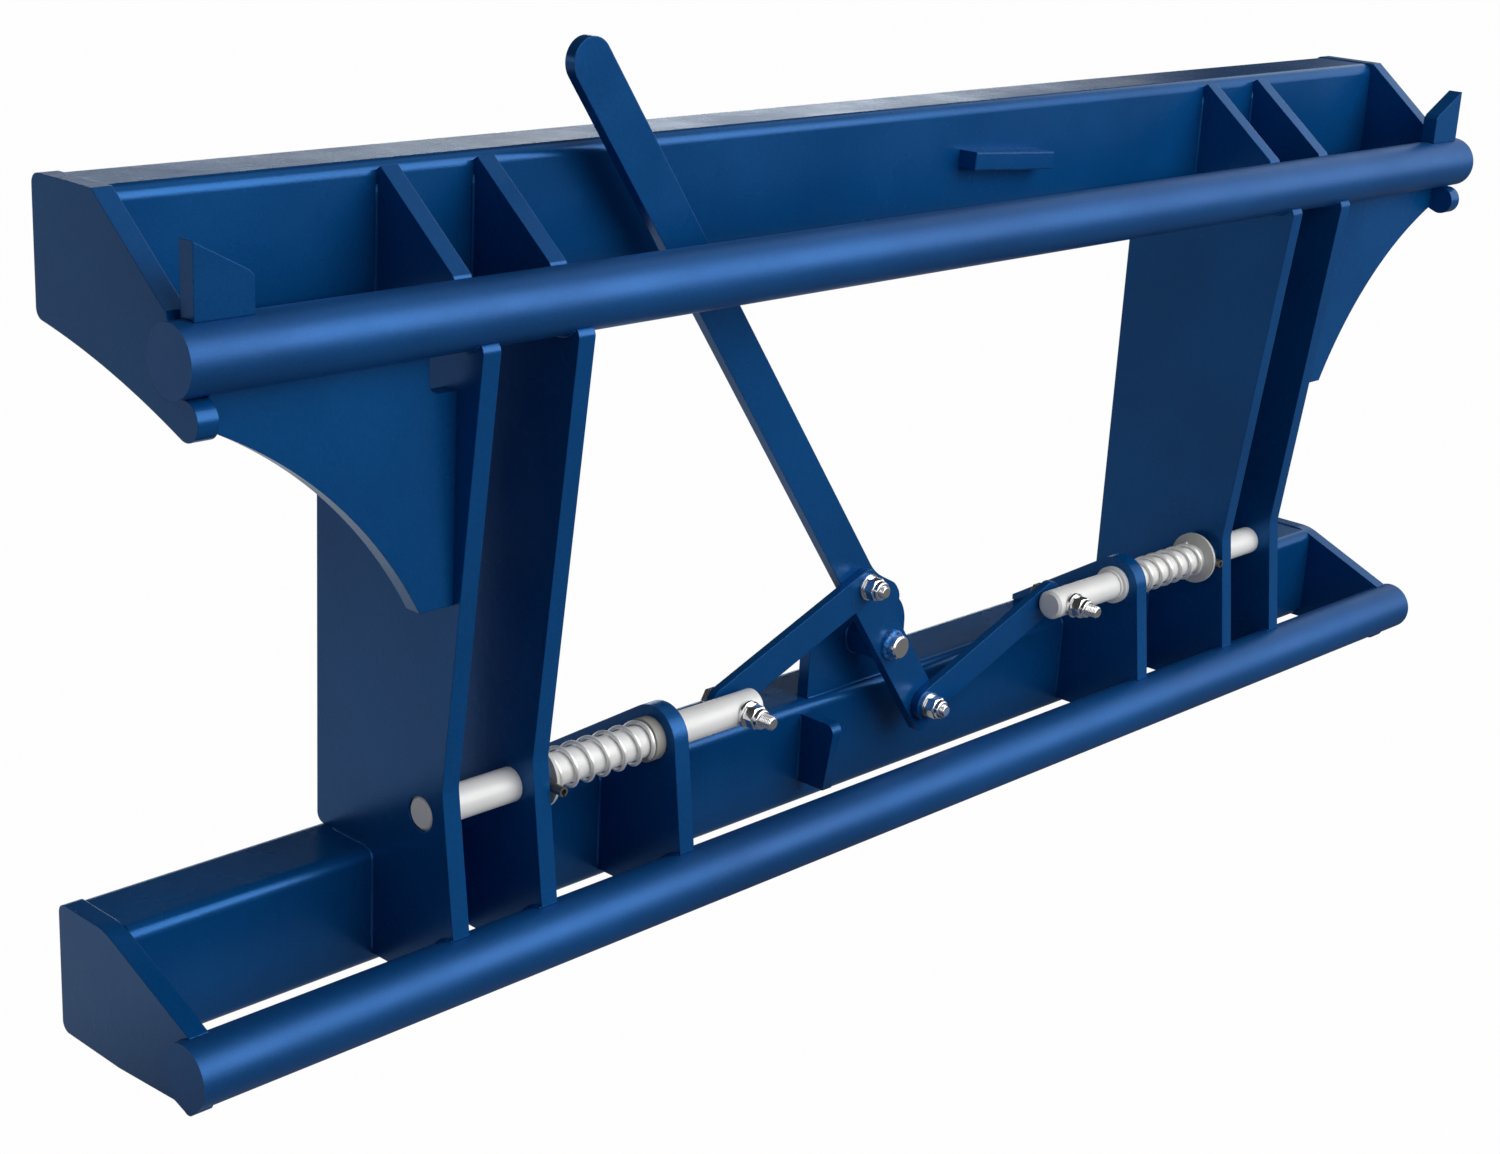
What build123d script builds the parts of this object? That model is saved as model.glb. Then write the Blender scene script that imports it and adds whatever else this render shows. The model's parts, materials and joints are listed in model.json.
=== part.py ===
from build123d import *
import os
from math import atan2, cos, degrees, radians, sin, sqrt

os.makedirs("parts", exist_ok=True)

# Sizes in millimetres. X runs along the adapter, the implement side faces -Y, Z is up.
# The origin is on the floor, under the middle of the adapter.

# Frame
frame_width = 1600.0        # over the end plates
bar_d = 50.0                # upper and lower round tube
bar_wall = 6.0
bar_overhang = 8.0          # tube past each end plate
bar_cap_t = 6.0
bar_height = 36.0           # lower tube axis above the floor
bar_spacing = 506.0         # between the tube axes
beam_h = 100.0              # upper and lower box section
beam_w = 70.0
beam_corner = 10.0
beam_wall = 6.0
rear_setback = 168.0        # tube axis to the rear face
lower_beam_lift = 3.0       # underside of the lower beam above the floor
upper_beam_drop = 8.0       # underside of the upper beam below the upper tube axis
plate_t = 16.0              # end plates, side plates and pin brackets
weld_gap = 0.2              # root gap between a cut-out and the round tube in it
corner_r = 8.0              # rounded plate corners

# Side plates, two on each side with the implement slot between them
inner_plate_x = 472.0
slot_width = 73.0
nose_reach = 21.5           # front corner ahead of the tube axis
nose_drop = 21.0
waist_setback = 15.7        # where the front edge bends, behind the tube axis
waist_rise = 142.5          # the bend above the lower tube axis
waist_r = 24.0
plate_foot = 22.0           # plates end this far below the lower tube axis
slope_lead = 4.0            # slope from beam to upper tube starts ahead of the beam
slope_drop = 3.0            # and below the top of it

# End plates
end_top_rise = 1.0          # above the upper beam
end_shoulder = 1.5          # flat top ahead of the upper beam
end_slope_gap = 3.0         # slope stays this far off the corner over the tube
end_slope_foot = 5.0        # and meets the tube below its top
end_nose_r = 13.8           # round nose under the upper tube
end_nose_drop = 39.2
end_nose_lead = 5.0
end_nose_turn = 23.0        # degrees round the nose to where its underside starts
end_arch = 5.0              # hollow of that underside
end_heel_rise = 3.0         # rear lower corner above the underside of the upper beam
foot_shoulder = 11.0        # flat top of a lower end plate, behind the front of the beam
foot_shoulder_r = 50.0
foot_slope_y = 4.2          # slope meets the tube behind its axis
foot_tip_r = 7.5
foot_tip_setback = 7.5
foot_arch = 5.0             # hollow behind the tip of a lower end plate
foot_arch_y = 24.0
foot_flat_y = 94.0          # where the lower end plates meet the floor

# Gussets and guide tabs under and on the upper tube
gusset_t = 15.0
gusset_lead = 6.5           # front face behind the tube axis
gusset_curve_r = 375.0
gusset_drop = 48.0          # outer lower corner below the tube axis
gusset_depth = 214.0        # bottom edge below the tube axis
gusset_foot = 31.0          # bottom edge out from the outer side plate
gusset_notch_w = 25.0       # clears the weld between the side plate and the upper tube
gusset_notch_drop = 55.0    # bottom of the notch below the tube axis
gusset_notch_r = 9.0
tab_t = 15.0
tab_w = 46.0
tab_inset = 6.0             # from the outer face of the end plate
tab_outer_rise = 75.5       # above the tube axis
tab_inner_rise = 53.5
tab_chamfer = 4.0

# Locking pins
pin_d = 28.0
pin_length = 362.0
pin_chamfer = 2.5
pin_setback = 40.5          # pin axis behind the tube axis
pin_rise = 116.5            # above the lower tube axis
pin_fit = 0.08              # radial running clearance
bracket_x = 321.0
bracket_head_r = 28.0
bracket_heel = 5.0          # rear edge of a bracket above the beam
bracket_heel_inset = 4.5
bush_d = 37.0
bush_inner_reach = 8.0      # past the bracket, towards the middle
bush_outer_reach = 10.0
bush_step = 3.0
washer_d = 52.0
washer_t = 3.0
roll_pin_gap = 1.5          # from the inner side plate to the roll pin
roll_pin_d = 8.0
roll_pin_bore = 5.0
roll_pin_slit = 1.5
roll_pin_length = 60.0
left_roll_pin_lead = 8.0    # its middle ahead of the axis of the left locking pin
right_roll_pin_lead = 0.0
spring_wire = 3.0
spring_coil_d = 34.0        # mean diameter
spring_turns = 6.5
spring_fit = 0.2            # between a spring end and its seat

# Lever, links and their bolts
lever_w = 38.0
lever_t = 10.0
lever_top = 694.0           # above the pivot, along the lever
lever_tail = 112.0
lever_tail_r = 8.0
lever_lean = 36.0           # degrees from upright, locked
lever_open = 25.0           # degrees past upright, open
lever_arm = 85.0            # pivot to each link bolt
shoulder_top = 80.0         # widened shoulder, up the lever from the pivot
shoulder_high = 50.0
shoulder_low = 36.0
shoulder_bottom = 19.0
shoulder_reach = 14.8
shoulder_high_r = 20.0
shoulder_low_r = 16.0
shoulder_top_blend = 50.0   # hollow radii where it runs into the lever
shoulder_bottom_blend = 15.0
link_w = 31.0
link_t = 8.0
link_bolt_x = 228.0         # link bolt in the locking pin, out from the middle
play = 0.3                  # between flat faces that slide on each other
bolt_d = 12.0
bolt_fit = 0.08
hex_flats = 19.0
hex_round_d = 21.3          # over the rounded corners of a hexagon
head_t = 7.5
nut_t = 11.0
nut_collar_t = 4.5
nut_collar_d = 17.5
flat_washer_d = 24.0
flat_washer_t = 2.5
lever_bolt_end = 4.0        # thread past the nut
pin_bolt_end = 11.5
bolt_chamfer = 1.5

# Pivot of the lever
pivot_d = 22.0
pivot_nose = 12.0           # pivot pin past the front of the lever
pivot_tail = 8.0            # and past the rear of its washer
pivot_weld_d = 29.0
pivot_weld_t = 4.5
sleeve_d = 36.0
post_w = 132.0
post_t = 12.0
post_rise = 31.5            # top of the post above the pivot
post_corner_r = 35.0
post_setback = 6.0          # behind the front of the beam
pivot_washer_d = 34.0
split_pin_d = 4.0
split_pin_length = 34.0

# Small pieces welded to the beams
rest_length = 114.0         # strip that backs the open lever
rest_h = 16.0
rest_reach = 20.0
rest_x = 142.0
rest_rise = 48.0            # its middle above the underside of the upper beam
rest_tilt = -3.9
rest_chamfer = 1.0
stop_x = -74.0              # rib that stops the tail of the lever
stop_t = 12.0
stop_top = 10.0             # below the top of the lower beam
stop_h = 65.0
stop_reach = 41.0
stop_foot_reach = 32.0

# Places that follow from the sizes
bar_r = bar_d / 2
rear_y = (rear_setback + bar_r) / 2
bar_y = rear_y - rear_setback
lower_bar_z = bar_height
upper_bar_z = bar_height + bar_spacing
bar_length = frame_width + 2 * bar_overhang
beam_y = rear_y - beam_w / 2
beam_front = rear_y - beam_w
beam_length = frame_width - 2 * plate_t
lower_beam_z = lower_beam_lift + beam_h / 2
lower_beam_top = lower_beam_lift + beam_h
upper_beam_bottom = upper_bar_z - upper_beam_drop
upper_beam_z = upper_beam_bottom + beam_h / 2
upper_beam_top = upper_beam_bottom + beam_h
outer_plate_x = inner_plate_x + plate_t + slot_width
end_plate_x = (frame_width - plate_t) / 2
plate_foot_z = lower_bar_z - plate_foot
rib_foot_y = bar_y + bar_r / 2
rib_foot_z = upper_bar_z + bar_r
bracket_heel_y = rear_y - bracket_heel_inset

pin_r = pin_d / 2
pin_y = bar_y + pin_setback
pin_z = lower_bar_z + pin_rise
pin_outer_x = outer_plate_x + plate_t / 2
pin_inner_x = pin_outer_x - pin_length
plate_inner_face_x = inner_plate_x - plate_t / 2
roll_pin_x = plate_inner_face_x - roll_pin_gap - roll_pin_d / 2
washer_x = roll_pin_x - (roll_pin_d + washer_t) / 2
bracket_inner_x = bracket_x - plate_t / 2
bracket_outer_x = bracket_x + plate_t / 2
bush_inner_x = bracket_inner_x - bush_inner_reach
bush_outer_x = bracket_outer_x + bush_outer_reach
spring_start_x = bush_outer_x + spring_wire / 2 + spring_fit
spring_end_x = washer_x - washer_t / 2 - spring_wire / 2 - spring_fit

link_front_y = pin_y + pin_r + play
link_back_y = link_front_y + link_t
lever_front_y = link_back_y + play
lever_back_y = lever_front_y + lever_t
post_front_y = beam_front + post_setback
post_back_y = post_front_y + post_t
sleeve_front_y = lever_back_y + play

# The lever turns about (0, pin_z). Unit vectors along it and across it, when locked.
lean = radians(lever_lean)
along_x = -sin(lean)
along_z = cos(lean)
upper_bolt = (lever_arm * along_x, pin_z + lever_arm * along_z)
lower_bolt = (-lever_arm * along_x, pin_z - lever_arm * along_z)


def save(piece, name):
    """Label a finished piece and write it under its own name."""
    piece.part.label = name
    export_step(piece.part, f"parts/{name}.step")
    print(name, round(piece.part.volume / 1000, 2), "cm3")


def corner(sketch, u, v):
    """The vertex of the open sketch that lies nearest to a place."""
    return sketch.vertices().sort_by_distance(Vector(u, v))[0]


def make_beam(name, z):
    """Rectangular hollow section between the end plates."""
    with BuildPart() as beam:
        with BuildSketch(Plane.YZ):
            with Locations((beam_y, z)):
                RectangleRounded(beam_w, beam_h, beam_corner)
                RectangleRounded(
                    beam_w - 2 * beam_wall, beam_h - 2 * beam_wall, beam_corner - beam_wall,
                    mode=Mode.SUBTRACT,
                )
        extrude(amount=beam_length / 2, both=True)
    save(beam, name)


def make_bar(name, z):
    """Round tube along the front of the frame, open at both ends."""
    with BuildPart() as bar:
        with BuildSketch(Plane.YZ):
            with Locations((bar_y, z)):
                Circle(bar_r)
                Circle(bar_r - bar_wall, mode=Mode.SUBTRACT)
        extrude(amount=bar_length / 2, both=True)
    save(bar, name)


def make_bar_caps():
    """Four discs that close the round tubes, flush with their ends."""
    cap_x = (bar_length - bar_cap_t) / 2
    with BuildPart() as caps:
        for x in (-cap_x, cap_x):
            with BuildSketch(Plane.YZ.offset(x)):
                with Locations((bar_y, lower_bar_z), (bar_y, upper_bar_z)):
                    Circle(bar_r - bar_wall)
            extrude(amount=bar_cap_t / 2, both=True)
    save(caps, "tube_end_caps")


def make_side_plate(name, x):
    """Upright plate that is notched round both tubes and both beams."""
    inside_y = beam_front + beam_corner + beam_wall
    inside_z = upper_beam_top - beam_corner - beam_wall
    outline = [
        (beam_front - slope_lead, upper_beam_top - slope_drop),
        (rib_foot_y, rib_foot_z),
        (bar_y, upper_bar_z),
        (bar_y - nose_reach, upper_bar_z - nose_drop),
        (bar_y + waist_setback, lower_bar_z + waist_rise),
        (bar_y, lower_bar_z + bar_r),
        (bar_y, lower_bar_z),
        (bar_y + plate_foot, plate_foot_z),
        (inside_y, plate_foot_z),
        (inside_y, lower_beam_top),
        (rear_y, lower_beam_top),
        (rear_y, upper_beam_bottom),
        (inside_y, upper_beam_bottom),
        (inside_y, inside_z),
    ]
    with BuildPart() as plate:
        with BuildSketch(Plane.YZ.offset(x)) as face:
            with BuildLine():
                Polyline(*outline, close=True)
            make_face()
            fillet(corner(face, bar_y - nose_reach, upper_bar_z - nose_drop), corner_r)
            fillet(corner(face, bar_y + waist_setback, lower_bar_z + waist_rise), waist_r)
            fillet(corner(face, rear_y, lower_beam_top), corner_r)
            with Locations((beam_y, lower_beam_z), (beam_y, upper_beam_z)):
                RectangleRounded(beam_w, beam_h, beam_corner, mode=Mode.SUBTRACT)
            with Locations((bar_y, lower_bar_z), (bar_y, upper_bar_z)):
                Circle(bar_r + weld_gap, mode=Mode.SUBTRACT)
            with Locations((pin_y, pin_z)):
                Circle(pin_r + pin_fit, mode=Mode.SUBTRACT)
        extrude(amount=plate_t / 2, both=True)
    save(plate, name)


def make_upper_end_plate(name, x):
    """Closes the upper beam, carries the tube and ends in a round nose under it."""
    top_z = upper_beam_top + end_top_rise
    nose_y = bar_y - end_nose_lead
    nose_z = upper_bar_z - end_nose_drop
    turn = radians(end_nose_turn)
    nose_back = (nose_y + end_nose_r * sin(turn), nose_z - end_nose_r * cos(turn))
    heel = (rear_y, upper_beam_bottom + end_heel_rise)
    outline = [
        heel,
        (rear_y, top_z),
        (beam_front - end_shoulder, top_z),
        (rib_foot_y + end_slope_gap, rib_foot_z + end_slope_gap),
        (rib_foot_y, rib_foot_z - end_slope_foot),
        (bar_y, upper_bar_z),
        (nose_y, nose_z),
        nose_back,
    ]
    with BuildPart() as plate:
        with BuildSketch(Plane.YZ.offset(x)) as face:
            with BuildLine():
                Polyline(*outline)
                SagittaArc(nose_back, heel, end_arch)
            make_face()
            fillet(corner(face, rear_y, top_z), corner_r)
            fillet(corner(face, *heel), corner_r)
            with Locations((nose_y, nose_z)):
                Circle(end_nose_r)
            with Locations((bar_y, upper_bar_z)):
                Circle(bar_r + weld_gap, mode=Mode.SUBTRACT)
        extrude(amount=plate_t / 2, both=True)
    save(plate, name)


def make_lower_end_plate(name, x):
    """Closes the lower beam, carries the tube and stands on the floor."""
    top_z = lower_beam_top + end_top_rise
    tip_y = bar_y + foot_tip_setback
    outline = [
        (rear_y, top_z),
        (beam_front + foot_shoulder, top_z),
        (bar_y + foot_slope_y, lower_bar_z + bar_r),
        (bar_y, lower_bar_z),
        (tip_y, foot_tip_r),
        (tip_y, 0),
        (bar_y + foot_arch_y, foot_arch),
        (bar_y + foot_flat_y, 0),
        (rear_y, 0),
    ]
    with BuildPart() as plate:
        with BuildSketch(Plane.YZ.offset(x)) as face:
            with BuildLine():
                Polyline(*outline, close=True)
            make_face()
            fillet(corner(face, rear_y, top_z), corner_r)
            fillet(corner(face, rear_y, 0), corner_r)
            fillet(corner(face, beam_front + foot_shoulder, top_z), foot_shoulder_r)
            with Locations((tip_y, foot_tip_r)):
                Circle(foot_tip_r)
            with Locations((bar_y, lower_bar_z)):
                Circle(bar_r + weld_gap, mode=Mode.SUBTRACT)
        extrude(amount=plate_t / 2, both=True)
    save(plate, name)


def make_gusset(name, side):
    """Curved plate under the upper tube, notched where the tube meets the side plate."""
    inner_x = side * (outer_plate_x + plate_t / 2)
    outer_x = side * (end_plate_x - plate_t / 2)
    foot_x = side * (outer_plate_x + plate_t / 2 + gusset_foot)
    foot_z = upper_bar_z - gusset_depth
    outer_z = upper_bar_z - gusset_drop
    notch_x = inner_x + side * gusset_notch_w
    notch_z = upper_bar_z - gusset_notch_drop
    middle_y = bar_y + gusset_lead + gusset_t / 2
    with BuildPart() as gusset:
        with BuildSketch(Plane.XZ.offset(-middle_y)) as face:
            with BuildLine():
                Polyline((outer_x, outer_z), (outer_x, upper_bar_z), (notch_x, upper_bar_z),
                         (notch_x, notch_z), (inner_x, notch_z), (inner_x, foot_z),
                         (foot_x, foot_z))
                RadiusArc((foot_x, foot_z), (outer_x, outer_z), side * gusset_curve_r)
            make_face()
            fillet(corner(face, notch_x, notch_z), gusset_notch_r)
        extrude(amount=gusset_t / 2, both=True)
        with BuildSketch(Plane.YZ):
            with Locations((bar_y, upper_bar_z)):
                Circle(bar_r + weld_gap)
        extrude(amount=bar_length / 2, both=True, mode=Mode.SUBTRACT)
    save(gusset, name)


def make_guide_tab(name, side):
    """Tab that stands on the end of the upper tube and steers the implement inwards."""
    outer_x = frame_width / 2 - tab_inset
    inner_x = outer_x - tab_w
    foot_z = upper_bar_z
    outline = [
        (outer_x, foot_z),
        (outer_x, upper_bar_z + tab_outer_rise),
        (inner_x + tab_chamfer, upper_bar_z + tab_inner_rise),
        (inner_x, upper_bar_z + tab_inner_rise - tab_chamfer),
        (inner_x, foot_z),
    ]
    with BuildPart() as tab:
        with BuildSketch(Plane.XZ.offset(-bar_y)):
            with BuildLine():
                Polyline(*[(side * x, z) for x, z in outline], close=True)
            make_face()
        extrude(amount=tab_t / 2, both=True)
        with BuildSketch(Plane.YZ):
            with Locations((bar_y, upper_bar_z)):
                Circle(bar_r + weld_gap)
        extrude(amount=bar_length / 2, both=True, mode=Mode.SUBTRACT)
    save(tab, name)


def make_pin_bracket(name, x):
    """Bracket with a round head that holds the bush of a locking pin."""
    inside_y = beam_front + beam_corner + beam_wall
    base = [
        (bar_y, lower_bar_z + bar_r),
        (bar_y, lower_bar_z),
        (bar_y + plate_foot, plate_foot_z),
        (inside_y, plate_foot_z),
        (inside_y, lower_beam_top),
    ]
    with BuildPart() as bracket:
        with BuildSketch(Plane.YZ.offset(x)):
            with BuildLine():
                Polyline((bar_y, lower_bar_z + bar_r), (bracket_heel_y, lower_beam_top),
                         (bracket_heel_y, lower_beam_top + bracket_heel))
            with BuildLine():
                CenterArc((pin_y, pin_z), bracket_head_r, 0, 360)
            make_hull()
            with BuildLine():
                Polyline(*base, close=True)
            make_face()
            with Locations((beam_y, lower_beam_z)):
                RectangleRounded(beam_w, beam_h, beam_corner, mode=Mode.SUBTRACT)
            with Locations((bar_y, lower_bar_z)):
                Circle(bar_r + weld_gap, mode=Mode.SUBTRACT)
            with Locations((pin_y, pin_z)):
                Circle(bush_d / 2, mode=Mode.SUBTRACT)
        extrude(amount=plate_t / 2, both=True)
    save(bracket, name)


def make_bush(name, side):
    """Bush pressed through the bracket, stepped towards the middle of the adapter."""
    inner = side * bush_inner_x
    outer = side * bush_outer_x
    step = side * (bush_inner_x + bush_step)
    bush_r = bush_d / 2
    bore_r = pin_r + pin_fit
    with BuildPart() as bush:
        with BuildSketch(Plane.XZ.offset(-pin_y)):
            with BuildLine():
                Polyline(
                    (inner, pin_z + bore_r),
                    (inner, pin_z + bush_r - bush_step),
                    (step, pin_z + bush_r - bush_step),
                    (step, pin_z + bush_r),
                    (outer, pin_z + bush_r),
                    (outer, pin_z + bore_r),
                    close=True,
                )
            make_face()
        revolve(axis=Axis((0, pin_y, pin_z), (1, 0, 0)))
    save(bush, name)


def make_locking_pin(name, side):
    """Round bar with a cross hole for the link bolt and one for the roll pin."""
    with BuildPart() as pin:
        with BuildSketch(Plane.YZ.offset(side * (pin_inner_x + pin_length / 2))):
            with Locations((pin_y, pin_z)):
                Circle(pin_r)
        extrude(amount=pin_length / 2, both=True)
        chamfer(pin.edges().filter_by(GeomType.CIRCLE), pin_chamfer)
        with BuildSketch(Plane.XZ.offset(-pin_y)):
            with Locations((side * link_bolt_x, pin_z)):
                Circle(bolt_d / 2)
            with Locations((side * roll_pin_x, pin_z)):
                Circle(roll_pin_d / 2)
        extrude(amount=pin_d, both=True, mode=Mode.SUBTRACT)
    save(pin, name)


def make_spring_washer(name, side):
    """Wide washer on the locking pin that the spring pushes on."""
    with BuildPart() as washer:
        with BuildSketch(Plane.YZ.offset(side * washer_x)):
            with Locations((pin_y, pin_z)):
                Circle(washer_d / 2)
                Circle(pin_r + pin_fit, mode=Mode.SUBTRACT)
        extrude(amount=washer_t / 2, both=True)
    save(washer, name)


def make_roll_pin(name, side, lead):
    """Slit spring pin through the locking pin, which holds the washer."""
    with BuildPart() as roll_pin:
        with BuildSketch(Plane.XZ.offset(lead - pin_y)):
            with Locations((side * roll_pin_x, pin_z)):
                Circle(roll_pin_d / 2)
                Circle(roll_pin_bore / 2, mode=Mode.SUBTRACT)
            with Locations((side * roll_pin_x, pin_z - roll_pin_d / 2)):
                Rectangle(roll_pin_slit, roll_pin_d, mode=Mode.SUBTRACT)
        extrude(amount=roll_pin_length / 2, both=True)
    save(roll_pin, name)


def make_spring(name, side):
    """Open coil of round wire between the bush and the washer."""
    length = spring_end_x - spring_start_x
    with BuildPart() as spring:
        with BuildLine():
            coil = Helix(length / spring_turns, length, spring_coil_d / 2,
                         center=(side * spring_start_x, pin_y, pin_z), direction=(side, 0, 0))
        with BuildSketch(Plane(origin=coil @ 0, z_dir=coil % 0)):
            RegularPolygon(spring_wire / 2, 6)
        sweep(is_frenet=True)
    save(spring, name)


def make_lever():
    """Flat bar with a round top, a widened shoulder and three holes, leaning when locked."""
    half = lever_w / 2
    reach = half + shoulder_reach
    outline = [
        (-half, lever_top - half),
        (-half, -lever_tail),
        (half, -lever_tail),
        (half, shoulder_bottom),
        (reach, shoulder_low),
        (reach, shoulder_high),
        (half, shoulder_top),
        (half, lever_top - half),
    ]
    across = (cos(lean), 0, sin(lean))
    leaning = Plane(origin=(0, (lever_front_y + lever_back_y) / 2, pin_z), x_dir=across,
                    z_dir=(0, -1, 0))
    with BuildPart() as lever:
        with BuildSketch(leaning) as face:
            with BuildLine():
                Polyline(*outline)
                ThreePointArc((half, lever_top - half), (0, lever_top), (-half, lever_top - half))
            make_face()
            for u in (-half, half):
                fillet(corner(face, u, -lever_tail), lever_tail_r)
            fillet(corner(face, half, shoulder_bottom), shoulder_bottom_blend)
            fillet(corner(face, reach, shoulder_low), shoulder_low_r)
            fillet(corner(face, reach, shoulder_high), shoulder_high_r)
            fillet(corner(face, half, shoulder_top), shoulder_top_blend)
            with Locations((0, lever_arm), (0, -lever_arm)):
                Circle(bolt_d / 2 + bolt_fit, mode=Mode.SUBTRACT)
            Circle(pivot_d / 2, mode=Mode.SUBTRACT)
        extrude(amount=lever_t / 2, both=True)
    save(lever, "lever")


def make_link(name, side):
    """Flat link with round ends, from a lever bolt to a locking pin."""
    inner = upper_bolt if side < 0 else lower_bolt
    run_x = side * link_bolt_x - inner[0]
    run_z = pin_z - inner[1]
    length = sqrt(run_x ** 2 + run_z ** 2)
    middle_y = (link_front_y + link_back_y) / 2
    along_link = Plane(origin=(inner[0], middle_y, inner[1]), x_dir=(run_x, 0, run_z),
                       z_dir=(0, -1, 0))
    with BuildPart() as link:
        with BuildSketch(along_link):
            with Locations((length / 2, 0)):
                SlotCenterToCenter(length, link_w)
            with Locations((0, 0), (length, 0)):
                Circle(bolt_d / 2 + bolt_fit, mode=Mode.SUBTRACT)
        extrude(amount=link_t / 2, both=True)
    save(link, name)


def add_rod(x, z, front_y, back_y, d, end_chamfer):
    """A round rod along Y with its front end chamfered, for the open part."""
    with BuildPart(mode=Mode.PRIVATE) as rod:
        with BuildSketch(Plane.XZ.offset(-back_y)):
            with Locations((x, z)):
                Circle(d / 2)
        extrude(amount=back_y - front_y)
        chamfer(rod.edges().sort_by(Axis.Y)[0], end_chamfer)
    add(rod.part)


def add_hexagon(x, z, front_y, back_y):
    """A hexagon with rounded corners along Y, as on a bolt head or a nut."""
    with BuildPart(mode=Mode.PRIVATE) as block:
        with BuildSketch(Plane.XZ.offset(-back_y)):
            with Locations((x, z)):
                RegularPolygon(hex_flats / 2, 6, major_radius=False)
        extrude(amount=back_y - front_y)
        with BuildSketch(Plane.XZ.offset(-back_y)):
            with Locations((x, z)):
                Circle(hex_round_d / 2)
        extrude(amount=back_y - front_y, mode=Mode.INTERSECT)
    add(block.part)


def add_disc(x, z, front_y, back_y, outer_d, bore_d):
    """A flat ring along Y for the open part."""
    with BuildPart(mode=Mode.PRIVATE) as disc:
        with BuildSketch(Plane.XZ.offset(-back_y)):
            with Locations((x, z)):
                Circle(outer_d / 2)
                Circle(bore_d / 2, mode=Mode.SUBTRACT)
        extrude(amount=back_y - front_y)
    add(disc.part)


def add_nut(x, z, back_y):
    """Locking nut: a hexagon, with a round collar in front, bored for its bolt."""
    hex_front = back_y - nut_t
    collar_front = hex_front - nut_collar_t
    with BuildPart(mode=Mode.PRIVATE) as nut:
        add_hexagon(x, z, hex_front, back_y)
        add_disc(x, z, collar_front, hex_front, nut_collar_d, bolt_d)
        with BuildSketch(Plane.XZ.offset(-back_y)):
            with Locations((x, z)):
                Circle(bolt_d / 2)
        extrude(amount=back_y - collar_front, mode=Mode.SUBTRACT)
    add(nut.part)


def make_lever_fasteners():
    """Bolts, washers and nuts that hold the links to the lever."""
    washer_back_y = link_front_y - play
    nut_back_y = washer_back_y - flat_washer_t
    bolt_front_y = nut_back_y - nut_t - nut_collar_t - lever_bolt_end
    head_front_y = lever_back_y + flat_washer_t
    with BuildPart() as bolts:
        for x, z in (upper_bolt, lower_bolt):
            add_rod(x, z, bolt_front_y, head_front_y, bolt_d, bolt_chamfer)
            add_hexagon(x, z, head_front_y, head_front_y + head_t)
    save(bolts, "lever_bolts")
    with BuildPart() as washers:
        for x, z in (upper_bolt, lower_bolt):
            add_disc(x, z, nut_back_y, washer_back_y, flat_washer_d, bolt_d)
            add_disc(x, z, lever_back_y, head_front_y, flat_washer_d, bolt_d)
    save(washers, "lever_bolt_washers")
    with BuildPart() as nuts:
        for x, z in (upper_bolt, lower_bolt):
            add_nut(x, z, nut_back_y)
    save(nuts, "lever_nuts")


def make_pin_fasteners(name, side):
    """The link bolt of a locking pin. Its shank is parted where the link turns on the pin."""
    x = side * link_bolt_x
    parting_y = pin_y + pin_r
    washer_back_y = pin_y - pin_r
    nut_back_y = washer_back_y - flat_washer_t
    bolt_front_y = nut_back_y - nut_t - nut_collar_t - pin_bolt_end
    head_front_y = link_back_y + flat_washer_t
    with BuildPart() as thread:
        add_rod(x, pin_z, bolt_front_y, parting_y, bolt_d, bolt_chamfer)
    save(thread, f"{name}_pin_bolt_thread")
    with BuildPart() as washer:
        add_disc(x, pin_z, nut_back_y, washer_back_y, flat_washer_d, bolt_d)
    save(washer, f"{name}_pin_bolt_washer")
    with BuildPart() as nut:
        add_nut(x, pin_z, nut_back_y)
    save(nut, f"{name}_pin_nut")
    with BuildPart() as head:
        add_rod(x, pin_z, link_front_y, head_front_y, bolt_d, bolt_fit)
        add_hexagon(x, pin_z, head_front_y, head_front_y + head_t)
    save(head, f"{name}_link_bolt_head")
    with BuildPart() as rear_washer:
        add_disc(x, pin_z, link_back_y, head_front_y, flat_washer_d, bolt_d)
    save(rear_washer, f"{name}_link_bolt_washer")


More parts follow.
